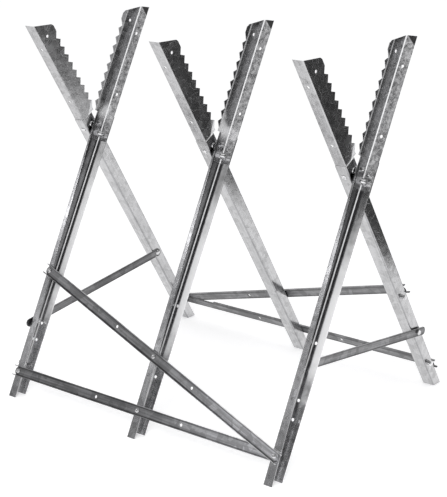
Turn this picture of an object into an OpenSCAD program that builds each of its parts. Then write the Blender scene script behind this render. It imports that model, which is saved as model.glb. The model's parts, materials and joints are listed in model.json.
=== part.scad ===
// Folding log saw stand: three X frames of bright sheet steel in a row, tied by bars, spread held by struts.
// Millimetres and degrees. X runs along the row, Y from front to back, Z up, floor at z = 0.
// Leg coordinates: u runs up along the leg from the pivot, c runs across it towards the flange,
// x stands off the middle plane of the frame.

/* [Stand] */
// height of the arm corners above the floor
stand_h = 790; // [720:1:860]
// height of the pivot axis above the floor
pivot_h = 529; // [480:1:580]
// distance between neighbouring frames
frame_step = 360; // [280:1:440]
// lean of each leg from the vertical, degrees
leg_lean = 29.6; // [25:0.1:34]
// gap between the crossing webs of one frame
web_gap = 5; // [5:0.1:8]

/* [Sheet] */
// thickness of the leg and arm sheet
sheet_t = 1.5; // [1:0.1:1.8]
// inside radius of the sheet bends
bend_r = 1.5; // [0.8:0.1:2]
// width of the flanges of legs and arms
flange_w = 27; // [24:0.5:32]
// distance of the flange face from the pivot axis
flange_off = 13; // [12.5:0.1:16]

/* [Legs] */
// reach of the leg above the pivot
leg_top = 44; // [38:0.5:46]
// width of the leg web at its top end
leg_web_top = 32.6; // [31:0.1:36]
// width of the leg web at the foot
leg_web_foot = 23.6; // [22:0.1:27]
// width of the lip at the top end
lip_top_w = 4.6; // [4:0.1:7]
// width of the lip at the foot
lip_foot_w = 22; // [19:0.5:25]
// radius of the open holes and bolt holes
hole_r = 3.3; // [3.2:0.05:3.6]
// distance of the lip holes from the web face
lip_hole_x = 9; // [8:0.1:9.5]
// distance of the flange holes from the web face
flange_hole_x = 8; // [7:0.1:12]

/* [Arms] */
// width of the arm web from the flange face to the tooth tips
arm_web_w = 48; // [45:0.5:54]
// reach of the arm below the pivot
arm_tail = 15; // [13:0.5:18]
// room between the arm tail and the bend of the lip
tail_room = 0.6; // [0.3:0.1:1.2]
// number of teeth on an arm
tooth_count = 9; // [7:1:9]
// depth of the teeth
tooth_depth = 9.2; // [6:0.1:11]
// distance of the first tooth tip above the leg
tooth_start = 20; // [18:0.5:26]
// length of the plain edge above the last tooth
plain_len = 15; // [10:0.5:20]
// share of the tooth step taken by the lower flank of a tooth
flank_share = 0.58; // [0.45:0.01:0.7]
// fall of the web end below the flange corner
arm_dip = 2.5; // [1:0.1:5]
// length of the cut corner along the arm
corner_u = 6; // [3:0.5:9]
// width of the cut corner across the arm
corner_c = 3.2; // [2:0.1:6]
// distance of the web hole below the arm end
arm_hole_drop = 14; // [10:0.5:18]
// distance of the web hole from the pivot line
arm_hole_c = 9.5; // [6:0.1:16]
// height of the lower flange hole above the pivot
arm_flange_low = 96; // [80:0.5:110]
// distance of the upper flange hole below the arm end
arm_flange_drop = 37; // [30:0.5:45]
// distance of the flange holes and flange bolts from the web face
arm_flange_x = 15; // [14.5:0.1:17]

/* [Pivot] */
// radius of the pivot bolt
pivot_r = 4; // [3:0.1:4.5]
// reach of the pivot bolt past the middle plane
pivot_reach = 22; // [16:0.5:26]
// width across the flats of the pivot nut and head
pivot_flat = 13; // [11:0.1:13.5]
// height of the pivot nut
pivot_nut_h = 6.5; // [4:0.1:7]
// height of the pivot head
pivot_head_h = 5.3; // [3:0.1:6]
// radius of the spacer between the legs
spacer_r = 9; // [6:0.1:11]

/* [Fasteners] */
// radius of the small bolts
bolt_r = 3; // [2.5:0.05:3.1]
// gap between a shank and its bore
fit_gap = 0.05; // [0.02:0.01:0.1]
// width across the flats of the small nuts
nut_flat = 10; // [9:0.1:10.5]
// height of the small nuts
nut_h = 5; // [3.5:0.1:5.5]
// reach of a small bolt past its nut
bolt_over = 2.2; // [1:0.1:3]
// radius of the flat round heads in the gap
low_head_r = 6; // [5:0.1:7]
// height of the flat round heads in the gap
low_head_h = 1.9; // [1:0.1:2]
// radius of the button heads
button_r = 5.5; // [4.5:0.1:6.5]
// height of the button heads
button_h = 3; // [2:0.1:4]
// height of the web bolt of the arm above the pivot
arm_bolt_u = 22; // [20:0.1:24]
// distance of the web bolt of the arm from the pivot line
arm_bolt_c = 4; // [3:0.1:6]
// height of the flange bolt of the arm above the pivot
arm_bolt_flange_u = 16; // [15:0.1:17]

/* [Bars] */
// width of the bars
bar_w = 22; // [18:0.5:24]
// sheet of the bars
bar_t = 1.5; // [1:0.1:2]
// height of the turned edges
bar_edge = 5; // [4:0.1:7]
// reach of the turned edges past the end holes
bar_end = 13; // [11.5:0.1:16]
// distance of the lowest bar hole above the foot, along the leg
bar_foot = 51.4; // [44:0.1:60]
// rise of the diagonal bar along the leg
bar_rise = 230; // [200:0.5:260]
// share of the half length from the middle to the open holes
bar_hole_share = 0.334; // [0.25:0.001:0.45]
// room round a bar that lies over another one
bar_room = 1; // [0.4:0.1:2]

/* [Struts] */
// width of the struts
strut_w = 18; // [15:0.5:20]
// thickness of the struts
strut_t = 2; // [1.5:0.1:2]
// length of the strut's end past its peg
strut_over = 18; // [8:0.5:24]
// gap beside the faces of a strut
strut_gap = 0.1; // [0.05:0.01:0.15]
// shares of the lower leg from the pivot to the pegs, the strut hangs on the middle one
peg_shares = [0.5424, 0.72, 0.8826];
// share of the lower leg from the pivot to the hook bolt
hook_share = 0.6246; // [0.6:0.0001:0.65]
// distance of pegs and hook bolts from the pivot line
peg_c = 2; // [1:0.1:2.5]
// radius of the peg spacers
peg_spacer_r = 5; // [4:0.1:6]
// reach of a peg past the middle plane
peg_reach = 14; // [12:0.5:16]
// height of the peg heads
peg_head_h = 4; // [3:0.1:5]
// radius of the hook slot
slot_r = 3.3; // [3.2:0.05:3.5]
// slant of the hook slot towards the hinge, degrees
slot_slant = 38; // [36:0.5:40]

/* [Part] */
// part to build

/* [Hidden] */
$fn = 40;
// overrun of every cut
cut = 1;
// share of the edge by which a rounding is wide, so that it meets the flats in a clear line
round_share = 1.004;
web_x = web_gap / 2;
reach = stand_h;
fold_r = bend_r + sheet_t;
stack_x = web_x + 2 * sheet_t;
arm_c = flange_off - sheet_t;
lip_top_c = flange_off - leg_web_top;
lip_foot_c = flange_off - leg_web_foot;
lip_foot_u = level_u(0, lip_foot_c);
lip_tilt = atan2(leg_web_top - leg_web_foot, leg_top - lip_foot_u);
lip_len = norm([leg_web_top - leg_web_foot, leg_top - lip_foot_u]);
lip_slope = (lip_foot_w - lip_top_w) / lip_len;
lip_t = sheet_t / cos(lip_tilt);
tip_c = arm_c - arm_web_w;
valley_c = tip_c + tooth_depth;
tail_c = lip_top_c + (leg_top + arm_tail) * tan(lip_tilt) + lip_t + bend_r + tail_room;
end_u = level_u(stand_h, tip_c + corner_c) - arm_dip;
tooth_first = leg_top + tooth_start;
tooth_step = (end_u - corner_u - plain_len - tooth_first) / tooth_count;
tooth_fall = tooth_step * flank_share;
foot_len = -level_u(0, 0);
bar_low = foot_len - bar_foot;
bar_high = bar_low - bar_rise;
bar_mid = bar_low - bar_rise / 2;
bar_third = bar_rise / 2 * bar_hole_share;
peg_low = [for (share = peg_shares) share * foot_len];
hook_low = hook_share * foot_len;
front_lows = [bar_mid + bar_third, bar_mid, bar_high];
bar_x = web_x + lip_hole_x;
diagonal_span = norm([2 * frame_step, bar_rise]);
diagonal_turn = atan2(bar_rise, 2 * frame_step);
bar_round = bar_w / 2 - bar_t;
lap_u = (bar_w + 2 * bar_room) / tan(diagonal_turn) + bar_w;
lift_c = fit_gap + bar_t * diagonal_span / (diagonal_span - lap_u);
lift_b = (fit_gap + lift_c) / 2;
diagonal_tilt = atan2(lift_c - fit_gap, diagonal_span);
lap_l = bar_w + bar_end;
strut_q = front_yz(-peg_low[1], peg_c);
strut_h = back_yz(-hook_low, peg_c);
strut_len = norm(strut_h - strut_q);
strut_turn = atan2(strut_h[1] - strut_q[1], strut_h[0] - strut_q[0]);
strut_x = web_x - strut_gap;
hook_x = strut_x - strut_t - strut_gap;

// leg coordinate of a height above the floor
function level_u(h, c) = (h - pivot_h + c * sin(leg_lean)) / cos(leg_lean);

// height of a tooth tip above the pivot
function tip_u(k) = tooth_first + k * tooth_step;

// place of a leg point in the plane of its frame, from the pivot
function front_yz(u, c) = [u * sin(leg_lean) + c * cos(leg_lean), u * cos(leg_lean) - c * sin(leg_lean)];
function back_yz(u, c) = [-u * sin(leg_lean) - c * cos(leg_lean), u * cos(leg_lean) - c * sin(leg_lean)];

module front_place(i)
    translate([i * frame_step, 0, pivot_h])
        rotate([-leg_lean, 0, 0])
            children();

module back_place(i)
    translate([i * frame_step, 0, pivot_h])
        rotate([0, 0, 180])
            rotate([-leg_lean, 0, 0])
                children();

module half_turn()
    rotate([0, 0, 180])
        children();

// outline in c and u pushed along x
module across(depth)
    rotate([90, 0, 90])
        linear_extrude(height = depth)
            children();

// frame of the lip: its outer face at y = 0, z along it, top end at the origin
module lip_place()
    translate([0, lip_top_c, leg_top])
        rotate([lip_tilt, 0, 0])
            children();

// stuff between a square edge along z and its rounding
module edge_strip(r, length)
    difference() {
        translate([-cut, -cut, -length / 2])
            cube([r + cut, r + cut, length]);
        translate([r, r, -length / 2 - cut])
            cylinder(r = r * round_share, h = length + 2 * cut);
    }

module x_hole(r, u, c, x)
    translate([x - cut, c, u])
        rotate([0, 90, 0])
            cylinder(r = r, h = sheet_t + 2 * cut);

module y_hole(r, x, y, z, depth)
    translate([x, y - cut, z])
        rotate([-90, 0, 0])
            cylinder(r = r, h = depth + 2 * cut);

// solids along x and y, from a start to an end
module x_pin(r, from, to)
    translate([from, 0, 0])
        rotate([0, 90, 0])
            cylinder(r = r, h = to - from);

module x_hex(flat, from, to)
    translate([from, 0, 0])
        rotate([0, 90, 0])
            cylinder(r = flat / 2 / cos(30), h = to - from, $fn = 6);

module x_ring(r, bore, from, to)
    difference() {
        x_pin(r, from, to);
        x_pin(bore, from - cut, to + cut);
    }

module x_nut(flat, bore, from, to)
    difference() {
        x_hex(flat, from, to);
        x_pin(bore, from - cut, to + cut);
    }

module y_turn()
    rotate([0, 0, 90])
        children();

// legs

// outline of the leg before the lip side is cut
module leg_outline(edge_c, over)
    polygon([
        [edge_c, level_u(0, edge_c) - over],
        [edge_c, leg_top + over],
        [-leg_web_top, leg_top + over],
        [-leg_web_top, level_u(0, -leg_web_top) - over]
    ]);

// all that lies outside a rounded lip, in depth below its outer face
module lip_outside(depth, r)
    lip_place()
        translate([web_x + depth, depth, 0]) {
            translate([-cut, -leg_web_top, -reach])
                cube([flange_w + 2 * cut, leg_web_top, 2 * reach]);
            edge_strip(r, 2 * reach);
        }

module leg_hollow()
    difference() {
        translate([web_x + sheet_t, 0, 0])
            across(flange_w)
                leg_outline(arm_c, cut);
        lip_outside(sheet_t, bend_r);
        translate([web_x + sheet_t, arm_c, 0])
            mirror([0, 1, 0])
                edge_strip(bend_r, 2 * reach);
    }

module lip_taper()
    lip_place()
        translate([web_x, leg_web_foot / 2, 0])
            rotate([90, 0, 0])
                linear_extrude(height = leg_web_foot)
                    polygon([
                        [lip_top_w - lip_slope * cut, cut],
                        [flange_w + cut, cut],
                        [flange_w + cut, -lip_len - flange_w],
                        [lip_foot_w + lip_slope * flange_w, -lip_len - flange_w]
                    ]);

module lip_holes()
    lip_place()
        for (low = [bar_low, bar_mid + bar_third, bar_mid, bar_mid - bar_third, bar_high])
            y_hole(hole_r, bar_x, 0, -low - leg_top, sheet_t);

module leg(web_bolts, flange_lows)
    difference() {
        translate([web_x, 0, 0])
            across(flange_w)
                leg_outline(flange_off, 0);
        leg_hollow();
        lip_outside(0, fold_r);
        lip_taper();
        translate([web_x, flange_off, 0])
            mirror([0, 1, 0])
                edge_strip(fold_r, 2 * reach);
        lip_holes();
        for (low = flange_lows)
            y_hole(hole_r, web_x + flange_hole_x, arm_c, -low, sheet_t);
        y_hole(bolt_r + fit_gap, web_x + arm_flange_x, arm_c, arm_bolt_flange_u, sheet_t);
        x_hole(pivot_r + fit_gap, 0, 0, web_x);
        x_hole(bolt_r + fit_gap, arm_bolt_u, -arm_bolt_c, web_x);
        for (low = web_bolts)
            x_hole(bolt_r + fit_gap, -low, peg_c, web_x);
    }

// arms

module arm_outline()
    polygon(concat(
        [[arm_c, -arm_tail], [tail_c, -arm_tail], [tail_c, leg_top + tail_room],
            [valley_c, leg_top + tail_room]],
        [for (k = [0:tooth_count]) for (p = [0:1])
            p == 0 ? [valley_c, tip_u(k) - tooth_fall] : [tip_c, tip_u(k)]],
        [[tip_c, end_u - corner_u], [tip_c + corner_c, end_u], [arm_c, level_u(stand_h, arm_c)]]
    ));

module arm_hollow()
    difference() {
        translate([stack_x, -reach, -reach])
            cube([flange_w, reach + arm_c - sheet_t, 2 * reach]);
        translate([stack_x, arm_c - sheet_t, 0])
            mirror([0, 1, 0])
                edge_strip(bend_r, 3 * reach);
    }

module arm()
    difference() {
        translate([web_x + sheet_t, 0, 0])
            across(flange_w - sheet_t)
                arm_outline();
        arm_hollow();
        translate([web_x + sheet_t, arm_c, 0])
            mirror([0, 1, 0])
                edge_strip(fold_r, 3 * reach);
        x_hole(pivot_r + fit_gap, 0, 0, web_x + sheet_t);
        x_hole(bolt_r + fit_gap, arm_bolt_u, -arm_bolt_c, web_x + sheet_t);
        x_hole(hole_r, end_u - arm_hole_drop, -arm_hole_c, web_x + sheet_t);
        for (u = [arm_flange_low, end_u - arm_flange_drop])
            y_hole(hole_r, web_x + arm_flange_x, arm_c - sheet_t, u, sheet_t);
        y_hole(bolt_r + fit_gap, web_x + arm_flange_x, arm_c - sheet_t, arm_bolt_flange_u, sheet_t);
    }

// fasteners of the arm joint

module arm_bolts() {
    translate([0, -arm_bolt_c, arm_bolt_u]) {
        x_pin(low_head_r, web_x - low_head_h, web_x);
        x_pin(bolt_r, web_x, stack_x + nut_h + bolt_over);
    }
    translate([web_x + arm_flange_x, 0, arm_bolt_flange_u])
        y_turn() {
            x_pin(low_head_r, flange_off, flange_off + low_head_h);
            x_pin(bolt_r, arm_c - sheet_t - nut_h - bolt_over, flange_off);
        }
}

module arm_nuts() {
    translate([0, -arm_bolt_c, arm_bolt_u])
        x_nut(nut_flat, bolt_r + fit_gap, stack_x, stack_x + nut_h);
    translate([web_x + arm_flange_x, 0, arm_bolt_flange_u])
        y_turn()
            x_nut(nut_flat, bolt_r + fit_gap, arm_c - sheet_t - nut_h, arm_c - sheet_t);
}

// pivot

module pivot_bolt(i)
    translate([i * frame_step, 0, pivot_h]) {
        x_hex(pivot_flat, -stack_x - pivot_head_h, -stack_x);
        x_pin(pivot_r, -stack_x, pivot_reach);
    }

// bars in the frame of the lip, first hole at the origin

module bar_end_cut()
    difference() {
        translate([-bar_end - cut, -bar_edge - cut, -bar_round])
            cube([bar_end + cut, bar_edge + 2 * cut, 2 * bar_round]);
        translate([0, -bar_edge - 2 * cut, 0])
            rotate([-90, 0, 0])
                cylinder(r = bar_round, h = bar_edge + 4 * cut);
    }

module bar(span)
    difference() {
        translate([-bar_end, -bar_edge, -bar_w / 2])
            cube([span + 2 * bar_end, bar_edge, bar_w]);
        translate([-bar_end - cut, -bar_edge - cut, -bar_round])
            cube([span + 2 * (bar_end + cut), bar_edge - bar_t + cut, 2 * bar_round]);
        bar_end_cut();
        translate([span, 0, 0])
            mirror([1, 0, 0])
                bar_end_cut();
        for (side = [0, 1])
            mirror([0, 0, side])
                translate([span / 2, 0, -bar_w / 2])
                    rotate([0, 90, 0])
                        rotate([0, 0, 180])
                            edge_strip(bar_t, span + 2 * (bar_end + cut));
        for (x = [0, span / 2, span])
            y_hole(bolt_r + fit_gap, x, -bar_t, 0, bar_t);
        for (side = [-1, 1])
            y_hole(hole_r, span / 2 * (1 + side * bar_hole_share), -bar_t, 0, bar_t);
    }

module lower_bar()
    front_place(0)
        lip_place()
            translate([bar_x - frame_step, 0, -bar_low - leg_top])
                difference() {
                    bar(2 * frame_step);
                    translate([2 * frame_step - lap_u, -bar_edge - cut, 0])
                        cube([lap_u + bar_end + cut, bar_edge - bar_t + cut, bar_w]);
                    translate([2 * frame_step - lap_l, -bar_edge - cut, -bar_w])
                        cube([lap_l + bar_end + cut, bar_edge - bar_t + cut, bar_w]);
                }

module diagonal_bar()
    front_place(0)
        lip_place()
            translate([bar_x - frame_step, -fit_gap, -bar_high - leg_top])
                rotate([0, diagonal_turn, 0])
                    rotate([0, 0, -diagonal_tilt])
                        bar(diagonal_span);

// bolt places of the front bars: frame, distance below the pivot, distance of the head from the lip
bar_bolt_places = [[-1, bar_low, bar_t], [0, bar_low, bar_t], [1, bar_low, bar_t + lift_c],
    [-1, bar_high, bar_t + fit_gap], [0, bar_mid, bar_t + lift_b]];

module bar_bolt_place(place)
    front_place(place[0])
        lip_place()
            translate([bar_x, 0, -place[1] - leg_top])
                y_turn()
                    children();

module bar_bolts()
    for (place = bar_bolt_places)
        bar_bolt_place(place) {
            x_pin(button_r, -place[2] - fit_gap - button_h, -place[2] - fit_gap);
            x_pin(bolt_r, -place[2] - fit_gap, sheet_t + nut_h + bolt_over);
        }

module bar_nuts()
    for (place = bar_bolt_places)
        bar_bolt_place(place)
            x_nut(nut_flat, bolt_r + fit_gap, sheet_t, sheet_t + nut_h);

// struts with their pegs and hook bolts, as they stand at the first frame

module strut()
    translate([-frame_step - strut_x, strut_q[0], pivot_h + strut_q[1]])
        rotate([strut_turn, 0, 0])
            difference() {
                union() {
                    translate([0, -strut_over, -strut_w / 2])
                        cube([strut_t, strut_over + strut_len, strut_w]);
                    translate([0, -strut_over, 0])
                        x_pin(strut_w / 2, 0, strut_t);
                    translate([0, strut_len, 0])
                        x_pin(strut_w / 2, 0, strut_t);
                }
                x_pin(bolt_r + fit_gap, -cut, strut_t + cut);
                translate([0, strut_len, 0]) {
                    x_pin(slot_r * round_share, -cut, strut_t + cut);
                    rotate([-slot_slant, 0, 0])
                        translate([-cut, -slot_r, -strut_w])
                            cube([strut_t + 2 * cut, 2 * slot_r, strut_w]);
                }
            }

module pegs_place()
    front_place(-1)
        for (low = peg_low)
            translate([0, peg_c, -low])
                children();

module peg_bolts()
    pegs_place() {
        x_hex(nut_flat, -web_x - peg_head_h, -web_x);
        x_pin(bolt_r, -web_x, peg_reach);
    }

module peg_spacers()
    pegs_place()
        x_ring(peg_spacer_r, bolt_r + fit_gap, -hook_x, web_x);

module peg_nuts()
    pegs_place()
        x_nut(nut_flat, bolt_r + fit_gap, web_x + sheet_t, web_x + sheet_t + nut_h);

module hook_place()
    back_place(-1)
        translate([0, peg_c, -hook_low])
            children();

module hook_bolt()
    hook_place() {
        x_pin(low_head_r, hook_x - low_head_h, hook_x);
        x_pin(bolt_r, hook_x, web_x + sheet_t + nut_h + bolt_over);
    }

module hook_nut()
    hook_place()
        x_nut(nut_flat, bolt_r + fit_gap, web_x + sheet_t, web_x + sheet_t + nut_h);

// sub-parts

module front_arm_a() color("silver") front_place(-1) arm();
module front_arm_b() color("silver") front_place(0) arm();
module front_arm_c() color("silver") front_place(1) arm();
module back_arm_a() color("silver") back_place(-1) arm();
module back_arm_b() color("silver") back_place(0) arm();
module back_arm_c() color("silver") back_place(1) arm();
module front_leg_a() color("silver") front_place(-1) leg(peg_low, front_lows);
module front_leg_b() color("silver") front_place(0) leg([], front_lows);
module front_leg_c() color("silver") front_place(1) leg([hook_low], front_lows);
module back_leg_a() color("silver") back_place(-1) leg([hook_low], []);
module back_leg_b() color("silver") back_place(0) leg([], []);
module back_leg_c() color("silver") back_place(1) leg(peg_low, []);
module front_lower_bar() color("gray") lower_bar();
module front_diagonal_bar() color("gray") diagonal_bar();
module back_lower_bar() color("gray") half_turn() lower_bar();
module back_diagonal_bar() color("gray") half_turn() diagonal_bar();
module strut_a() color("gray") strut();
module strut_c() color("gray") half_turn() strut();
module pivot_bolt_a() color("dimgray") pivot_bolt(-1);
module pivot_bolt_b() color("dimgray") pivot_bolt(0);
module pivot_bolt_c() color("dimgray") pivot_bolt(1);
module pivot_nuts() color("dimgray")
    for (i = [-1:1])
        translate([i * frame_step, 0, pivot_h])
            x_nut(pivot_flat, pivot_r + fit_gap, stack_x, stack_x + pivot_nut_h);
module pivot_spacers() color("dimgray")
    for (i = [-1:1])
        translate([i * frame_step, 0, pivot_h])
            x_ring(spacer_r, pivot_r + fit_gap, -web_x, web_x);
module front_arm_bolts() color("dimgray") for (i = [-1:1]) front_place(i) arm_bolts();
module front_arm_nuts() color("dimgray") for (i = [-1:1]) front_place(i) arm_nuts();
module back_arm_bolts() color("dimgray") for (i = [-1:1]) back_place(i) arm_bolts();
module back_arm_nuts() color("dimgray") for (i = [-1:1]) back_place(i) arm_nuts();
module front_bar_bolts() color("dimgray") bar_bolts();
module front_bar_nuts() color("dimgray") bar_nuts();
module back_bar_bolts() color("dimgray") half_turn() bar_bolts();
module back_bar_nuts() color("dimgray") half_turn() bar_nuts();
module peg_bolts_a() color("dimgray") peg_bolts();
module peg_spacers_a() color("dimgray") peg_spacers();
module peg_nuts_a() color("dimgray") peg_nuts();
module hook_bolt_a() color("dimgray") hook_bolt();
module hook_nut_a() color("dimgray") hook_nut();
module peg_bolts_c() color("dimgray") half_turn() peg_bolts();
module peg_spacers_c() color("dimgray") half_turn() peg_spacers();
module peg_nuts_c() color("dimgray") half_turn() peg_nuts();
module hook_bolt_c() color("dimgray") half_turn() hook_bolt();
module hook_nut_c() color("dimgray") half_turn() hook_nut();

front_arm_a();
front_arm_b();
front_arm_c();
back_arm_a();
back_arm_b();
back_arm_c();
front_leg_a();
front_leg_b();
front_leg_c();
back_leg_a();
back_leg_b();
back_leg_c();
front_lower_bar();
front_diagonal_bar();
back_lower_bar();
back_diagonal_bar();
strut_a();
strut_c();
pivot_bolt_a();
pivot_bolt_b();
pivot_bolt_c();
pivot_nuts();
pivot_spacers();
front_arm_bolts();
front_arm_nuts();
back_arm_bolts();
back_arm_nuts();
front_bar_bolts();
front_bar_nuts();
back_bar_bolts();
back_bar_nuts();
peg_bolts_a();
peg_spacers_a();
peg_nuts_a();
hook_bolt_a();
hook_nut_a();
peg_bolts_c();
peg_spacers_c();
peg_nuts_c();
hook_bolt_c();
hook_nut_c();
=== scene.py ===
import json
import math
import bmesh
import bpy
import numpy as np
from mathutils import Matrix, Vector

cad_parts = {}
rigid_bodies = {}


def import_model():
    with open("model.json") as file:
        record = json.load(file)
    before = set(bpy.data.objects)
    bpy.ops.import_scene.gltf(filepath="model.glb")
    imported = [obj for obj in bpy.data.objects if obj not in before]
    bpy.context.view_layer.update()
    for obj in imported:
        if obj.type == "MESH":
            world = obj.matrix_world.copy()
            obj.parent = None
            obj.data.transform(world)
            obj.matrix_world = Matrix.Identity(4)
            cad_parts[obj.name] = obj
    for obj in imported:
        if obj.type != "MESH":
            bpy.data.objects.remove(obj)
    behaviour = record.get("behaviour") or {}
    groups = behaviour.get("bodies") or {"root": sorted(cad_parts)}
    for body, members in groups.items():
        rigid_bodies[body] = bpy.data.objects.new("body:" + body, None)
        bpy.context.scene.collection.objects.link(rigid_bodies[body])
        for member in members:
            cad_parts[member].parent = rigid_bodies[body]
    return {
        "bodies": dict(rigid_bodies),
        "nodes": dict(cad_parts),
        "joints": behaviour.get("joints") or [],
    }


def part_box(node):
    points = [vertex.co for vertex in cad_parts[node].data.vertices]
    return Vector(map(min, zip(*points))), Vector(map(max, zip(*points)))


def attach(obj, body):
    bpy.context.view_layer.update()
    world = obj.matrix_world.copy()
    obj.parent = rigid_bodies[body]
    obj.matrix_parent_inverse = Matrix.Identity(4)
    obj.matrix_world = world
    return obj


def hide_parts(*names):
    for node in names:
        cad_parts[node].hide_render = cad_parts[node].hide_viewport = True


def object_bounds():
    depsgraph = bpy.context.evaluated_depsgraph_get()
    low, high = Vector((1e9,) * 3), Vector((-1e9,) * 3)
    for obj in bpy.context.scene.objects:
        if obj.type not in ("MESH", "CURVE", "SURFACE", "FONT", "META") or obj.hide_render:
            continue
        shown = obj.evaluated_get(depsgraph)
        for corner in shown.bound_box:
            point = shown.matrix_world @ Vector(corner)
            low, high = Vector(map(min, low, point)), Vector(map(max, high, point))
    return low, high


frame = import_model()
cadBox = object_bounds()
nodes = frame["nodes"]
print("frame loaded:", len(nodes), "nodes")

scene = bpy.context.scene
scene.view_settings.view_transform = "Standard"

# the stand's own directions: the legs lean from the row of pivots, the frames stand one step apart
lean = math.radians(29.6)
pivot = next(joint["pos_m"] for joint in frame["joints"] if joint["name"] == "fold")
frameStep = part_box("front_leg_b")[0][0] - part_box("front_leg_a")[0][0]
standTop = cadBox[1][2]
frontAxis = Vector((0, math.sin(lean), math.cos(lean)))  # up along a front leg
frontAcross = Vector((0, math.cos(lean), -math.sin(lean)))  # from its lip to its flange
backAxis, backAcross = (Vector((0, -way.y, way.z)) for way in (frontAxis, frontAcross))


# helpers for shader trees: a value is a number, a colour, a vector or another node's socket

def addNode(tree, kind, **values):
    node = tree.nodes.new(kind)
    for name, value in values.items():
        setattr(node, name, value)
    return node


def feed(tree, socket, value):
    if isinstance(value, bpy.types.NodeSocket):
        tree.links.new(value, socket)
    else:
        socket.default_value = value


def feedAll(tree, node, values):
    for name, value in values.items():
        feed(tree, node.inputs[name], value)


def addMath(tree, operation, *values):
    node = addNode(tree, "ShaderNodeMath", operation=operation)
    for socket, value in zip(node.inputs, values):
        feed(tree, socket, value)
    return node.outputs[0]


def chain(tree, operation, total, *others):
    for other in others:
        total = addMath(tree, operation, total, other)
    return total


def plus(tree, *values):
    return chain(tree, "ADD", *values)


def minus(tree, first, second):
    return addMath(tree, "SUBTRACT", first, second)


def times(tree, *values):
    return chain(tree, "MULTIPLY", *values)


def largest(tree, *values):
    return chain(tree, "MAXIMUM", *values)


def flip(tree, value):
    return minus(tree, 1.0, value)


def ease(tree, value, span):
    # 0 before the span, 1 after it, smooth between
    node = addNode(tree, "ShaderNodeMapRange", interpolation_type="SMOOTHSTEP")
    feedAll(tree, node, {"Value": value, "From Min": span[0], "From Max": span[1]})
    return node.outputs["Result"]


def addVector(tree, operation, first, second):
    node = addNode(tree, "ShaderNodeVectorMath", operation=operation)
    feed(tree, node.inputs[0], first)
    feed(tree, node.inputs["Scale" if operation == "SCALE" else 1], second)
    return node.outputs["Value" if operation == "DOT_PRODUCT" else "Vector"]


def splitPlace(tree, vector):
    node = addNode(tree, "ShaderNodeSeparateXYZ")
    feed(tree, node.inputs["Vector"], vector)
    return node.outputs


def objectPlace(tree):
    return addNode(tree, "ShaderNodeTexCoord").outputs["Object"]


def addNoise(tree, place, look):
    node = addNode(tree, "ShaderNodeTexNoise")
    feedAll(tree, node, {"Vector": place} | look)
    return node.outputs["Fac"]


zincTint = 1.01  # zinc is a touch blue


def grey(value):
    return (value, value, value * zincTint, 1)


def addRamp(tree, value, stops):
    node = addNode(tree, "ShaderNodeValToRGB")
    ramp = node.color_ramp
    while len(ramp.elements) < len(stops):
        ramp.elements.new(stops[-1][0])
    for element, (position, tone) in zip(ramp.elements, stops):
        element.position = position
        element.color = grey(tone)
    feed(tree, node.inputs["Fac"], value)
    return node.outputs["Color"]


def mixed(tree, blend, factor, base, top):
    node = addNode(tree, "ShaderNodeMix", data_type="RGBA", blend_type=blend)
    feedAll(tree, node, {"Factor": factor, "A": base, "B": top})
    return node.outputs["Result"]


def shaded(tree, tone, mask, share):
    return mixed(tree, "MULTIPLY", mask, tone, grey(share))


columnWide, rowHigh = 220, 240


def arrange(tree):
    # nodes in columns, counted back from the last one
    depth = {node.name: 0 for node in tree.nodes}
    for _ in depth:
        for link in tree.links:
            depth[link.from_node.name] = max(depth[link.from_node.name], depth[link.to_node.name] + 1)
    rows = {}
    for node in tree.nodes:
        column = depth[node.name]
        rows[column] = rows.get(column, 0) + 1
        node.location = (-column * columnWide, -rows[column] * rowHigh)


def makeGroup(name, inputs, outputs):
    group = bpy.data.node_groups.new(name, "ShaderNodeTree")
    for side, sockets in (("INPUT", inputs), ("OUTPUT", outputs)):
        for label, kind in sockets.items():
            group.interface.new_socket(name=label, in_out=side, socket_type="NodeSocket" + kind)
    return group, addNode(group, "NodeGroupInput").outputs, addNode(group, "NodeGroupOutput").inputs


def useGroup(tree, group, values):
    node = addNode(tree, "ShaderNodeGroup", node_tree=group)
    feedAll(tree, node, values)
    return node.outputs


# zinc coat: spangle cells, cloudy blotches, specks and rolling marks drawn out along the sheet

coat = {"cellTone": 0.45, "cellWear": 0.5, "cellTilt": 0.25,
        "clouds": {"Detail": 5.0, "Roughness": 0.62},
        "specks": {"Scale": 230.0, "Detail": 3.0}, "speckMiddle": 0.41,
        "rolled": {"Scale": 260.0, "Detail": 2.0}, "rolledMiddle": 0.5, "rolledPress": 0.97}


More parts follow.
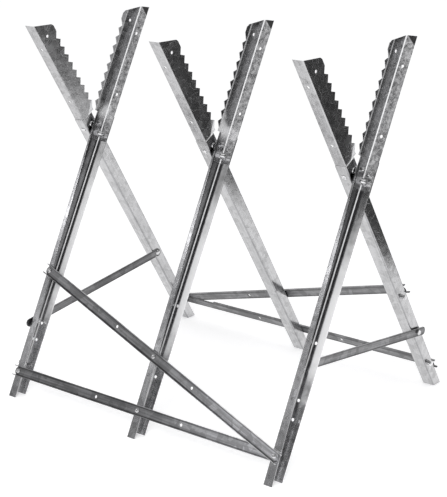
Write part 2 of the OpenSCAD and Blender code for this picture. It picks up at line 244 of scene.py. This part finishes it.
def makeZincGroup():
    inputs = dict.fromkeys(("Cell Scale", "Blotch Scale", "Cloud", "Speck", "Streak"), "Float")
    group, start, end = makeGroup("zincCoat", inputs | {"Axis": "Vector"},
                                  dict.fromkeys(("Tone", "Wear", "Height"), "Float"))
    place = objectPlace(group)
    cells = addNode(group, "ShaderNodeTexVoronoi", feature="F1")
    feedAll(group, cells, {"Vector": place, "Scale": start["Cell Scale"]})
    split = addNode(group, "ShaderNodeSeparateColor")
    feed(group, split.inputs["Color"], cells.outputs["Color"])
    cellTone, cellWear, cellTilt = (times(group, socket, coat[key]) for socket, key
                                    in zip(split.outputs, ("cellTone", "cellWear", "cellTilt")))

    clouds = addNoise(group, place, coat["clouds"] | {"Scale": start["Blotch Scale"]})
    cloudPart = times(group, clouds, start["Cloud"])
    specks = minus(group, addNoise(group, place, coat["specks"]), coat["speckMiddle"])
    speckPart = times(group, specks, start["Speck"])

    # the length is pressed together, so the noise is long in it
    length = times(group, addVector(group, "DOT_PRODUCT", place, start["Axis"]), coat["rolledPress"])
    pressed = addVector(group, "SUBTRACT", place, addVector(group, "SCALE", start["Axis"], length))
    rolled = minus(group, addNoise(group, pressed, coat["rolled"]), coat["rolledMiddle"])
    streakPart = times(group, rolled, start["Streak"])

    feed(group, end["Tone"], plus(group, cellTone, cloudPart, speckPart, streakPart))
    feed(group, end["Wear"], plus(group, cellWear, cloudPart))
    feed(group, end["Height"], plus(group, cellTilt, clouds))
    arrange(group)
    return group


zincGroup = makeZincGroup()


# painted highlights and painted shade in the open corner of a front leg or arm, mixed towards a pale, less
# metallic grey
# spans in metres, across from the fold, along up the leg from the pivot, and x over the row of frames

cornerLook = {
    "face": (0.001, 0.002),  # what still counts as web or flange
    "fold": (0.0014, 0.0023), "strip": (0.007, 0.012), "lip": (0.0205, 0.0215),
    "clouds": {"Scale": 26.0, "Detail": 4.0}, "wobble": 0.16,  # uneven borders along the leg
    "low": (-0.41, -0.27), "foot": (-0.42, -0.30), "high": (-0.13, 0.16), "slide": 0.12,
    "patches": {"Scale": 105.0, "Detail": 8.0, "Roughness": 0.78}, "patch": (0.36, 0.66),
    "clear": (-0.04, 0.05), "glintFrom": (0.025, 0.05), "glintTo": (0.12, 0.17),
    "pastA": (-0.3, -0.1), "pastB": (0.1, 0.2),
    "teeth": (0.0370, 0.0380), "paleTeeth": 0.35, "teethShade": 0.4,
    "bendFrom": (0.0330, 0.0342), "bendTo": (0.0368, 0.0378), "bendShare": 0.5,
    "tip": (0.001, 0.004), "tipSlope": 0.8,  # over the stand's top
}


def makePaintedCornerGroup():
    inputs = ("Corner X", "Corner C", "Strip", "Line", "Arm Patch Light", "Foot Patch Light", "Pivot Dark", "Pivot Glow",
              "Tip", "Teeth")
    group, start, end = makeGroup("cornerPaintedLight", dict.fromkeys(inputs, "Float"),
                                  dict.fromkeys(("Painted Highlight", "Shade", "Dark", "Lip"), "Float"))
    place = objectPlace(group)
    x, _, z = splitPlace(group, place)
    fromPivot = addVector(group, "SUBTRACT", place, pivot)
    across = addVector(group, "DOT_PRODUCT", fromPivot, frontAcross)
    along = addVector(group, "DOT_PRODUCT", fromPivot, frontAxis)
    inFrame = addMath(group, "WRAP", x, frameStep / 2, -frameStep / 2)
    fromWeb = minus(group, inFrame, start["Corner X"])
    fromFlange = minus(group, start["Corner C"], across)
    onWeb = flip(group, ease(group, fromWeb, cornerLook["face"]))
    onFlange = flip(group, ease(group, fromFlange, cornerLook["face"]))
    frameA = flip(group, ease(group, x, cornerLook["pastA"]))
    framesAB = flip(group, ease(group, x, cornerLook["pastB"]))

    wobble = times(group, addNoise(group, place, cornerLook["clouds"]), cornerLook["wobble"])
    uneven = plus(group, along, wobble)
    overFoot = ease(group, uneven, cornerLook["low"])
    foot = flip(group, ease(group, uneven, cornerLook["foot"]))
    clear = ease(group, along, cornerLook["clear"])

    # painted highlights: a pale line in the fold and a pale strip on the flange that fades upwards, sooner
    # from frame to frame
    fold = flip(group, ease(group, largest(group, fromWeb, fromFlange), cornerLook["fold"]))
    foldShare = times(group, fold, start["Line"])
    outer = ease(group, fromWeb, cornerLook["strip"])
    slid = plus(group, uneven, times(group, x, cornerLook["slide"]))
    underTop = flip(group, ease(group, slid, cornerLook["high"]))
    stripShare = times(group, onFlange, outer, overFoot, underTop, start["Strip"])

    # painted highlight in pale patches at the feet and on the flanges of the arms
    patch = ease(group, addNoise(group, place, cornerLook["patches"]), cornerLook["patch"])
    footPatch = times(group, foot, start["Foot Patch Light"], patch)
    armPatch = times(group, clear, patch, onFlange, start["Arm Patch Light"])

    # painted highlight: a bright place on the web over the pivot, on frames A and B
    glintFrom = ease(group, along, cornerLook["glintFrom"])
    glintTo = ease(group, uneven, cornerLook["glintTo"])
    paintedGlint = times(group, onWeb, minus(group, glintFrom, glintTo), framesAB, start["Pivot Glow"])

    # the toothed strip gets a painted highlight on frame A and painted shade on frame B, with a painted
    # highlight line along its base
    teeth = times(group, ease(group, fromFlange, cornerLook["teeth"]), start["Teeth"])
    paleTeeth = times(group, teeth, frameA, cornerLook["paleTeeth"])
    teethShade = times(group, minus(group, teeth, frameA), framesAB, cornerLook["teethShade"])
    bendFrom = ease(group, fromFlange, cornerLook["bendFrom"])
    bendTo = ease(group, fromFlange, cornerLook["bendTo"])
    bendShare = times(group, minus(group, bendFrom, bendTo), start["Teeth"], cornerLook["bendShare"])

    # painted shade: the top corner of the flange is dark
    tipSpan = [standTop + value for value in cornerLook["tip"]]
    tipped = ease(group, plus(group, z, times(group, fromWeb, cornerLook["tipSlope"])), tipSpan)
    tipShare = times(group, tipped, onFlange, start["Tip"])

    patches = times(group, largest(group, footPatch, armPatch, paintedGlint), flip(group, teeth))
    frost = largest(group, foldShare, stripShare, patches, paleTeeth, bendShare)
    feed(group, end["Painted Highlight"], times(group, frost, flip(group, tipShare)))
    # painted shade: the inner half of the flange, the arms near the pivot, the dark toothed strip and the top
    # corner; Dark and Lip mark where the webs and the lips get painted shade
    inner = times(group, onFlange, flip(group, outer), start["Strip"], overFoot)
    pivotShade = times(group, flip(group, clear), start["Pivot Dark"])
    feed(group, end["Shade"], largest(group, inner, pivotShade, teethShade, tipShare))
    feed(group, end["Dark"], overFoot)
    feed(group, end["Lip"], ease(group, fromFlange, cornerLook["lip"]))
    arrange(group)
    return group


frostGroup = makePaintedCornerGroup()


# which face of a bent sheet it is: web, cut edge or bend, and a normal that leans as pressed webs do

faceLimits = {"web": 0.95, "flange": 0.9, "edge": 0.3, "bendFrom": 0.2, "bendTo": 0.97}


def turned(tree, normal, fromSpace, toSpace):
    node = addNode(tree, "ShaderNodeVectorTransform", vector_type="NORMAL",
                   convert_from=fromSpace, convert_to=toSpace)
    feed(tree, node.inputs["Vector"], normal)
    return node.outputs["Vector"]


def makeFaceGroup():
    group, start, end = makeGroup("faceSense", {"Lean": "Vector", "Across": "Vector"},
                                  dict.fromkeys(("Web", "Edge", "Bend"), "Float") | {"Normal": "Vector"})
    normal = turned(group, addNode(group, "ShaderNodeNewGeometry").outputs["Normal"], "WORLD", "OBJECT")
    side = addMath(group, "ABSOLUTE", splitPlace(group, normal)["X"])
    deep = addMath(group, "ABSOLUTE", addVector(group, "DOT_PRODUCT", normal, start["Across"]))
    web = addMath(group, "GREATER_THAN", side, faceLimits["web"])
    feed(group, end["Web"], web)
    feed(group, end["Edge"], times(group, addMath(group, "LESS_THAN", deep, faceLimits["flange"]),
                                   addMath(group, "LESS_THAN", side, faceLimits["edge"])))
    feed(group, end["Bend"], times(group, addMath(group, "GREATER_THAN", side, faceLimits["bendFrom"]),
                                   addMath(group, "LESS_THAN", side, faceLimits["bendTo"])))
    leant = addVector(group, "ADD", normal, addVector(group, "SCALE", start["Lean"], web))
    feed(group, end["Normal"], turned(group, leant, "OBJECT", "WORLD"))
    arrange(group)
    return group


faceGroup = makeFaceGroup()


# sheet and fastener materials

tonePlaces = (0.25, 0.5, 0.8)
# pale grey of the painted highlights and of the cut edges, and how much less metallic they are
frosted = {"tone": 0.96, "dull": 0.85}


def makeSheetMaterial(name, look):
    material = bpy.data.materials.new(name)
    material.use_nodes = True
    tree = material.node_tree
    shader = tree.nodes["Principled BSDF"]
    shader.inputs["Metallic"].default_value = 1.0
    zinc = useGroup(tree, zincGroup, look["zinc"])
    tone = addRamp(tree, zinc["Tone"], list(zip(tonePlaces, look["tones"])))
    bump = addNode(tree, "ShaderNodeBump")
    feedAll(tree, bump, {"Strength": look["bump"], "Distance": look["wave"], "Height": zinc["Height"]})
    if "edges" in look:
        tone = barTone(tree, tone, look)
    elif "across" in look:
        tone, metal, normal = bentSheet(tree, tone, look)
        feed(tree, shader.inputs["Metallic"], metal)
        feed(tree, bump.inputs["Normal"], normal)
    rough = addNode(tree, "ShaderNodeMapRange")
    feedAll(tree, rough, {"Value": zinc["Wear"], "To Min": look["rough"][0], "To Max": look["rough"][1]})
    feedAll(tree, shader, {"Base Color": tone, "Roughness": rough.outputs["Result"],
                           "Normal": bump.outputs["Normal"]})
    arrange(tree)
    return material


def bentSheet(tree, tone, look):
    sense = useGroup(tree, faceGroup, {"Lean": look.get("lean", (0, 0, 0)), "Across": look["across"]})
    frost = times(tree, sense["Edge"], look["edge"])
    # painted shade in the bends of the back legs
    if "bend" in look:
        tone = shaded(tree, tone, sense["Bend"], look["bend"])
    if "tail" in look:
        # painted glint: the plain end under the last tooth is painted bright
        tail = look["tail"]
        fromPivot = addVector(tree, "SUBTRACT", objectPlace(tree), pivot)
        over = ease(tree, addVector(tree, "DOT_PRODUCT", fromPivot, tail["way"]), tail["span"])
        paintedGlint = times(tree, minus(tree, tail["share"], over), sense["Web"])
        frost = largest(tree, frost, paintedGlint)
    # painted shade on the webs, the flange's inner half and the lips, and painted highlights, from the corner
    # group
    if "frost" in look:
        fold = useGroup(tree, frostGroup, look["frost"])
        tone = shaded(tree, tone, times(tree, sense["Web"], fold["Dark"]), look["web"])
        tone = shaded(tree, tone, fold["Shade"], look["inner"])
        if "lip" in look:
            tone = shaded(tree, tone, fold["Lip"], look["lip"])
        frost = largest(tree, frost, fold["Painted Highlight"])
    # painted highlights and paler cut edges are mixed towards a pale, less metallic grey
    metal = flip(tree, times(tree, frost, frosted["dull"]))
    return mixed(tree, "MIX", frost, tone, grey(frosted["tone"])), metal, sense["Normal"]


def barTone(tree, tone, look):
    # painted shade along the folded long edges of a bar, with a painted highlight line at the very edge
    place = objectPlace(tree)
    across = addVector(tree, "DOT_PRODUCT", place, look["across"])
    away = addMath(tree, "ABSOLUTE", minus(tree, across, look["centre"]))
    share = addMath(tree, "DIVIDE", away, look["half"])
    tone = mixed(tree, "MULTIPLY", 1.0, tone, addRamp(tree, share, look["edges"]))
    if "pale" in look:
        # painted light: the front bars are paler towards frame C
        tone = shaded(tree, tone, ease(tree, splitPlace(tree, place)["X"], look["pale"]), look["paleShare"])
    return tone


webLean = 0.087  # how far the pressed front webs lean
tailSlant = 0.837  # the painted glint at the end of a back arm is bounded by a corner, so its border slants
frontLean, tailWay = frontAcross * -webLean, backAxis + backAcross * tailSlant
legZinc = {"Cell Scale": 90, "Blotch Scale": 14, "Cloud": 0.55}
armZinc = {"Cell Scale": 90, "Blotch Scale": 22, "Cloud": 0.7}
barZinc = {"Cell Scale": 60, "Blotch Scale": 12, "Cloud": 0.4, "Speck": 0.4, "Streak": 1.6}
looks = {
    # front legs: web, inner and lip are painted shade on the webs, the flange's inner half and the lips; the
    # corner group paints highlights
    "front_leg": {"zinc": legZinc | {"Speck": 0.5, "Streak": 1.2, "Axis": frontAxis},
                  "tones": (0.58, 0.70, 0.82), "rough": (0.12, 0.26), "bump": 0.10, "wave": 0.0010,
                  "lean": frontLean, "across": frontAcross, "edge": 0.75, "web": 0.38, "inner": 0.5,
                  "lip": 0.6,
                  "frost": {"Corner X": 0.004, "Corner C": 0.0115, "Strip": 1.0, "Line": 0.85,
                            "Foot Patch Light": 0.12}},
    # back legs: tones darker than the front legs' of the same zinc: painted shade; bend paints shade in the
    # bends
    "back_leg": {"zinc": legZinc | {"Speck": 0.6, "Streak": 0.8, "Axis": backAxis},
                 "tones": (0.42, 0.50, 0.57), "rough": (0.12, 0.24), "bump": 0.4, "wave": 0.0008,
                 "across": backAcross, "edge": 0.75, "bend": 0.76},
    # front arms: web and inner are painted shade; the corner group paints shade near the pivot and at the top
    # corner, highlights in the fold, on the flange and over the pivot, and both on the toothed strip
    "front_arm": {"zinc": armZinc | {"Speck": 1.5, "Streak": 0.4, "Axis": frontAxis},
                  "tones": (0.46, 0.66, 0.84), "rough": (0.14, 0.32), "bump": 0.6, "wave": 0.0012,
                  "lean": frontLean, "across": frontAcross, "edge": 0.75, "web": 0.6, "inner": 0.16,
                  "frost": {"Corner X": 0.0055, "Corner C": 0.010, "Line": 1.0, "Arm Patch Light": 0.6,
                            "Pivot Dark": 0.2, "Pivot Glow": 0.75, "Tip": 1.0, "Teeth": 1.0}},
    # back arms: tones darker than the front arms' of the same zinc: painted shade; tail paints a glint at the
    # plain end
    "back_arm": {"zinc": armZinc | {"Speck": 0.8, "Streak": 0.5, "Axis": backAxis},
                 "tones": (0.34, 0.43, 0.52), "rough": (0.14, 0.32), "bump": 0.5, "wave": 0.0012,
                 "across": backAcross, "edge": 0.3,
                 "tail": {"way": tailWay, "span": (0.0365, 0.0400), "share": 0.85}},
    # front bars: edges paint shade along the folded edges and a highlight line at the rim; pale paints them
    # lighter towards frame C
    "bar": {"zinc": barZinc,
            "tones": (0.20, 0.26, 0.36), "rough": (0.28, 0.42), "bump": 0.3, "wave": 0.0006,
            "edges": ((0.0, 1.0), (0.6, 0.9), (0.7, 0.42), (0.86, 0.34), (0.93, 1.5)),
            "pale": (-0.02, 0.30), "paleShare": 2.5},
    # back bars and struts: edges paint shade along the folded edges and a highlight line at the rim
    "back_bar": {"zinc": barZinc,
                 "tones": (0.18, 0.24, 0.32), "rough": (0.28, 0.42), "bump": 0.3, "wave": 0.0006,
                 "edges": ((0.0, 1.0), (0.6, 0.9), (0.7, 0.45), (0.86, 0.4), (0.93, 1.2))},
    "fastener": {"zinc": {"Cell Scale": 200, "Blotch Scale": 60, "Cloud": 0.5, "Speck": 0.6, "Streak": 0.0},
                 "tones": (0.55, 0.72, 0.85), "rough": (0.15, 0.30), "bump": 0.2, "wave": 0.0003},
}
# the back pieces are not quite parallel, so each mirrors another part of the room
backLeans = {"back_leg_a": (0, 0, -0.09), "back_leg_b": (0, 0, -0.05), "back_arm_a": (0, 0, -0.12)}


# what counts as one point, one level and one direction, and as a head over its shank
near = {"merge": 1e-6, "level": 1e-5, "digits": 7, "wayDigits": 3, "headOver": 1.2}


def widthOf(obj):
    # long axis and width of a straight bar, from the spread of its points
    points = np.array([vertex.co for vertex in obj.data.vertices])
    separate = np.unique(points.round(near["digits"]), axis=0)
    axes = np.linalg.svd(separate - points.mean(axis=0), full_matrices=False)[2]
    spread = points @ axes[1]
    low, high = float(spread.min()), float(spread.max())
    return tuple(axes[0]), {"across": tuple(axes[1]), "centre": (high + low) / 2, "half": (high - low) / 2}


def lookOf(name):
    kind = name[:-2]  # legs and arms end in the letter of their frame
    if kind in looks:
        return kind
    if name.endswith("_bar") or name.startswith("strut"):
        return "bar" if name.startswith("front") else "back_bar"
    return "fastener"


materials = {}
for name, obj in nodes.items():
    key = lookOf(name)
    look = dict(looks[key])
    if "edges" in look:
        key = name
        axis, width = widthOf(obj)
        look |= width | {"zinc": look["zinc"] | {"Axis": axis}}
    if name in backLeans:
        key = name
        look["lean"] = backLeans[name]
    if key not in materials:
        materials[key] = makeSheetMaterial(key, look)
    obj.data.materials.clear()
    obj.data.materials.append(materials[key])
print("materials set:", len(materials))


# fasteners: chamfered nuts and heads, threaded ends, each cut on the axis of its CAD solid

fine = {"sides": 24, "sharp": 32, "chamfer": 0.6, "boreChamfer": 0.14, "hexTop": 0.97,
        "dome": ((0.30, 0.0), (0.70, 0.16), (0.92, 0.45), (1.0, 0.8)),  # shares of radius and height
        "pitch": 0.00125, "root": 0.84, "threadMost": 0.015, "threadShare": 0.75,
        "tip": 0.72, "tipLength": 0.12, "tipStart": 0.94}
sixth = math.pi / 3


def measure(faces):
    # the axis is the one direction that every face lies along or across
    ways = {}
    for face in faces:
        key = tuple(round(value, near["wayDigits"]) for value in face.normal)
        ways[key] = ways.get(key, 0.0) + face.calc_area()

    def stray(key):
        total = 0.0
        for other, area in ways.items():
            lined = abs(Vector(key).dot(Vector(other)))
            total += area * min(lined, abs(1 - lined))
        return total

    axis = Vector(min(ways, key=stray)).normalized()
    points = {tuple(round(value, near["digits"]) for value in vert.co)
              for face in faces for vert in face.verts}
    points = [Vector(point) for point in points]
    side = axis.orthogonal().normalized()
    centre = Vector()
    for way in (side, axis.cross(side)):
        spread = [point.dot(way) for point in points]
        centre += way * (min(spread) + max(spread)) / 2
    flat = [(point.dot(axis), point - axis * point.dot(axis) - centre) for point in points]
    ends = (min(along for along, _ in flat), max(along for along, _ in flat))
    rims = [[arm for along, arm in flat if abs(along - end) < near["level"]] for end in ends]
    return {"axis": axis, "centre": centre, "ends": ends, "rims": rims, "flat": flat}


def ring(bm, part, along, radius, hexagon=None):
    sides = fine["sides"]
    verts = bmesh.ops.create_circle(bm, segments=sides, radius=1.0)["verts"]
    first = part["corner"]
    second = part["axis"].cross(first)
    for index, vert in enumerate(verts):
        turn = 2 * math.pi * index / sides
        reach = radius
        if hexagon:
            reach = min(radius, hexagon / math.cos(turn % sixth - sixth / 2))
        arm = (first * math.cos(turn) + second * math.sin(turn)) * reach
        vert.co = part["centre"] + part["axis"] * along + arm
    return list({edge for vert in verts for edge in vert.link_edges})


def bridge(bm, loops, closed):
    pairs = list(zip(loops, loops[1:]))
    if closed:
        pairs.append((loops[-1], loops[0]))
    for one, other in pairs:
        bmesh.ops.bridge_loops(bm, edges=one + other)


def hexSizes(outer):
    flat = outer * math.cos(sixth / 2)
    return flat, (outer - flat) * fine["chamfer"]


def longest(arms):
    return max(arms, key=lambda arm: arm.length)


def addNut(bm, part):
    low, high = part["ends"]
    rim = part["rims"][0]
    outer, bore = longest(rim).length, min(arm.length for arm in rim)
    part["corner"] = longest(rim).normalized()
    flat, slope = hexSizes(outer)
    cut = bore * fine["boreChamfer"]
    rings = ((low, bore, None), (low, flat, flat), (low + slope, outer, flat), (high - slope, outer, flat),
             (high, flat, flat), (high, bore + cut, None), (high - cut, bore, None))
    bridge(bm, [ring(bm, part, *values) for values in rings], True)


def addBolt(bm, part):
    sizes = [longest(rim).length for rim in part["rims"]]
    headAt = 0 if sizes[0] > sizes[1] else 1
    head, shank = sizes[headAt], sizes[1 - headAt]
    start, tip = part["ends"][headAt], part["ends"][1 - headAt]
    way = 1 if tip > start else -1
    wide = [along for along, arm in part["flat"] if arm.length > shank * near["headOver"]]
    neck = max(wide, key=lambda along: (along - start) * way)
    part["corner"] = longest(part["rims"][headAt]).normalized()
    if len(part["rims"][headAt]) == 6:  # a hexagon head, or else a dome
        flat, slope = hexSizes(head)
        rings = [(start, flat * fine["hexTop"], flat), (start + way * slope, head, flat), (neck, head, flat)]
    else:
        rings = [(start + (neck - start) * rise, head * share, None) for share, rise in fine["dome"]]
        rings.append((neck, head, None))
    rings.append((neck, shank, None))
    pitch = way * fine["pitch"]
    thread = min(fine["threadMost"], abs(tip - neck) * fine["threadShare"])
    turns = int(thread / fine["pitch"])
    at = tip - turns * pitch
    for _ in range(turns - 1):
        rings += [(at, shank, None), (at + pitch / 2, shank * fine["root"], None)]
        at += pitch
    rings += [(at, shank, None), (tip - way * shank * fine["tipLength"], shank * fine["tipStart"], None),
              (tip, shank * fine["tip"], None)]
    bridge(bm, [ring(bm, part, *values) for values in rings], False)


def solidsOf(source):
    # faces of each separate solid in a node's mesh
    left = set(source.faces)
    while left:
        group, stack = [], [left.pop()]
        while stack:
            face = stack.pop()
            group.append(face)
            beside = {other for edge in face.edges for other in edge.link_faces if other in left}
            left -= beside
            stack += beside
        yield group


def makeFastener(name, addPart):
    source = bmesh.new()
    source.from_mesh(nodes[name].data)
    bmesh.ops.remove_doubles(source, verts=source.verts, dist=near["merge"])
    source.normal_update()
    bm = bmesh.new()
    for group in solidsOf(source):
        addPart(bm, measure(group))
    source.free()
    bmesh.ops.holes_fill(bm, edges=bm.edges, sides=0)
    bmesh.ops.recalc_face_normals(bm, faces=bm.faces)
    mesh = bpy.data.meshes.new(name + ".fine")
    bm.to_mesh(mesh)
    bm.free()
    mesh.shade_smooth()
    mesh.set_sharp_from_angle(angle=math.radians(fine["sharp"]))
    mesh.materials.append(materials["fastener"])
    piece = bpy.data.objects.new(name + ".fine", mesh)
    scene.collection.objects.link(piece)
    body = next(key for key, empty in frame["bodies"].items() if empty == nodes[name].parent)
    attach(piece, body)
    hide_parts(name)


for name in list(nodes):
    if "bolt" in name:
        makeFastener(name, addBolt)
    elif "nut" in name:
        makeFastener(name, addNut)
print("fasteners cut")


# floor, studio cards and light

def lookAt(place, target):
    return (Vector(target) - Vector(place)).to_track_quat("-Z", "Y")


def makePlane(name, size, place, turn):
    bm = bmesh.new()
    shape = Matrix.Translation(place) @ turn.to_matrix().to_4x4() @ Matrix.Diagonal((*size, 1, 1))
    bmesh.ops.create_grid(bm, x_segments=1, y_segments=1, size=0.5, matrix=shape)
    mesh = bpy.data.meshes.new(name)
    bm.to_mesh(mesh)
    bm.free()
    obj = bpy.data.objects.new(name, mesh)
    scene.collection.objects.link(obj)
    return obj


def turnAbout(angle):
    return Matrix.Rotation(angle, 3, "Z").to_quaternion()


def wayTo(bearing, height):
    # direction from the stand: bearing from -Y towards +X, height over the level
    level = math.cos(height)
    return Vector((math.sin(bearing) * level, -math.cos(bearing) * level, math.sin(height)))


def seenDirect(tree):
    # 1 for what the camera, a mirror or a glass shows, 0 for light on the object
    path = addNode(tree, "ShaderNodeLightPath").outputs
    return largest(tree, path["Is Camera Ray"], path["Is Glossy Ray"], path["Is Transmission Ray"])


room = {"light": 0.72, "shown": 1.0}
floorLook = {"size": (30.0, 30.0), "tone": 0.95, "rough": 0.9, "drop": 0.0005}


def makeFloor():
    floor = makePlane("floor", floorLook["size"], Vector((0, 0, -floorLook["drop"])), turnAbout(0))
    material = bpy.data.materials.new("paleFloor")
    material.use_nodes = True
    tree = material.node_tree
    lift = room["shown"] - floorLook["tone"] * room["light"]  # makes the lit floor as pale as the room
    feedAll(tree, tree.nodes["Principled BSDF"], {
        "Base Color": grey(floorLook["tone"]), "Roughness": floorLook["rough"], "Specular IOR Level": 0.0,
        "Emission Color": (1, 1, 1, 1), "Emission Strength": times(tree, seenDirect(tree), lift)})
    arrange(tree)
    floor.data.materials.append(material)


# grey and bright cards that only reflections see: angles in degrees, places from the middle of the stand
middle = Vector((0, 0, 0.4))
cards = {
    "cardLeft": {"bearing": -50, "height": 30, "reach": 3.3, "size": (5.0, 4.6), "tilt": 0, "light": 0.30},
    "bandLeft": {"bearing": -43, "height": 26.2, "reach": 3.0, "size": (1.9, 0.14), "tilt": 25, "light": 4.2},
    "bandFoot": {"bearing": -43, "height": 15.5, "reach": 3.0, "size": (1.9, 0.12), "tilt": 20, "light": 1.6},
    "cardCamera": {"bearing": 40, "height": 32, "reach": 3.2, "size": (4.2, 3.8), "tilt": 0, "light": 0.22},
    "cardBack": {"bearing": 137, "height": 3, "reach": 1.27, "size": (2.6, 0.92), "tilt": 0, "light": 0.07},
    "cardAbove": {"bearing": -3, "height": 62, "reach": 3.0, "size": (3.2, 1.7), "tilt": 0, "light": 0.34},
}
# one more lies on the floor
floorFlag = {"bearing": -45, "reach": 2.45, "size": (3.0, 2.0), "rise": 0.002, "light": 0.12}


def makeReflected(name, obj, light):
    material = bpy.data.materials.new(name)
    material.use_nodes = True
    tree = material.node_tree
    tree.nodes.clear()
    glow = addNode(tree, "ShaderNodeEmission")
    feed(tree, glow.inputs["Color"], grey(light))
    feed(tree, addNode(tree, "ShaderNodeOutputMaterial").inputs["Surface"], glow.outputs[0])
    arrange(tree)
    obj.data.materials.append(material)
    for way in ("camera", "diffuse", "transmission", "volume_scatter", "shadow"):
        setattr(obj, "visible_" + way, False)


def makeCard(name, card):
    away = wayTo(math.radians(card["bearing"]), math.radians(card["height"]))
    turn = away.to_track_quat("Z", "Y") @ turnAbout(math.radians(card["tilt"]))
    makeReflected(name, makePlane(name, card["size"], middle + away * card["reach"], turn), card["light"])


def makeFloorFlag(name, flag):
    bearing = math.radians(flag["bearing"])
    place = wayTo(bearing, 0) * flag["reach"] + Vector((0, 0, flag["rise"]))
    makeReflected(name, makePlane(name, flag["size"], place, turnAbout(bearing)), flag["light"])


makeFloor()
for name, card in cards.items():
    makeCard(name, card)
makeFloorFlag("flagLeft", floorFlag)


def makeRoom():
    world = bpy.data.worlds.new("whiteStudio")
    scene.world = world
    world.use_nodes = True
    tree = world.node_tree
    strength = plus(tree, times(tree, seenDirect(tree), room["shown"] - room["light"]), room["light"])
    feedAll(tree, tree.nodes["Background"], {"Color": (1, 1, 1, 1), "Strength": strength})
    arrange(tree)


softbox = {"place": (1.6, -2.6, 2.0), "size": 1.6, "power": 50}


def makeSoftbox():
    lamp = bpy.data.lights.new("softbox", "AREA")
    lamp.shape = "SQUARE"
    lamp.size = softbox["size"]
    lamp.energy = softbox["power"]
    obj = bpy.data.objects.new("softbox", lamp)
    obj.location = softbox["place"]
    obj.rotation_mode = "QUATERNION"
    obj.rotation_quaternion = lookAt(softbox["place"], middle)
    obj.visible_glossy = False
    scene.collection.objects.link(obj)


makeRoom()
makeSoftbox()
print("floor, cards and light set")


# camera at the photograph's angle, image 447 by 497, angles in degrees, focus in pixels

camera = {"bearing": 41.0545, "down": 17.6985, "roll": -1.7494, "place": (2.0701, -2.3658, 1.3257),
          "focus": 1546.28, "imageLong": 497, "sensor": 36.0, "far": 100}


def makeCamera():
    bearing, down, roll = (math.radians(camera[key]) for key in ("bearing", "down", "roll"))
    ahead = -wayTo(bearing, down)
    level = Vector((math.cos(bearing), math.sin(bearing), 0))
    rise = level.cross(ahead)
    right = level * math.cos(roll) + rise * math.sin(roll)
    top = rise * math.cos(roll) - level * math.sin(roll)
    data = bpy.data.cameras.new("camera")
    data.sensor_width = camera["sensor"]
    data.lens = camera["focus"] * camera["sensor"] / camera["imageLong"]
    data.clip_end = camera["far"]
    obj = bpy.data.objects.new("camera", data)
    turn = Matrix((right, top, -ahead)).transposed()
    obj.matrix_world = Matrix.Translation(camera["place"]) @ turn.to_4x4()
    scene.collection.objects.link(obj)
    return obj


scene.camera = makeCamera()
print("camera set")
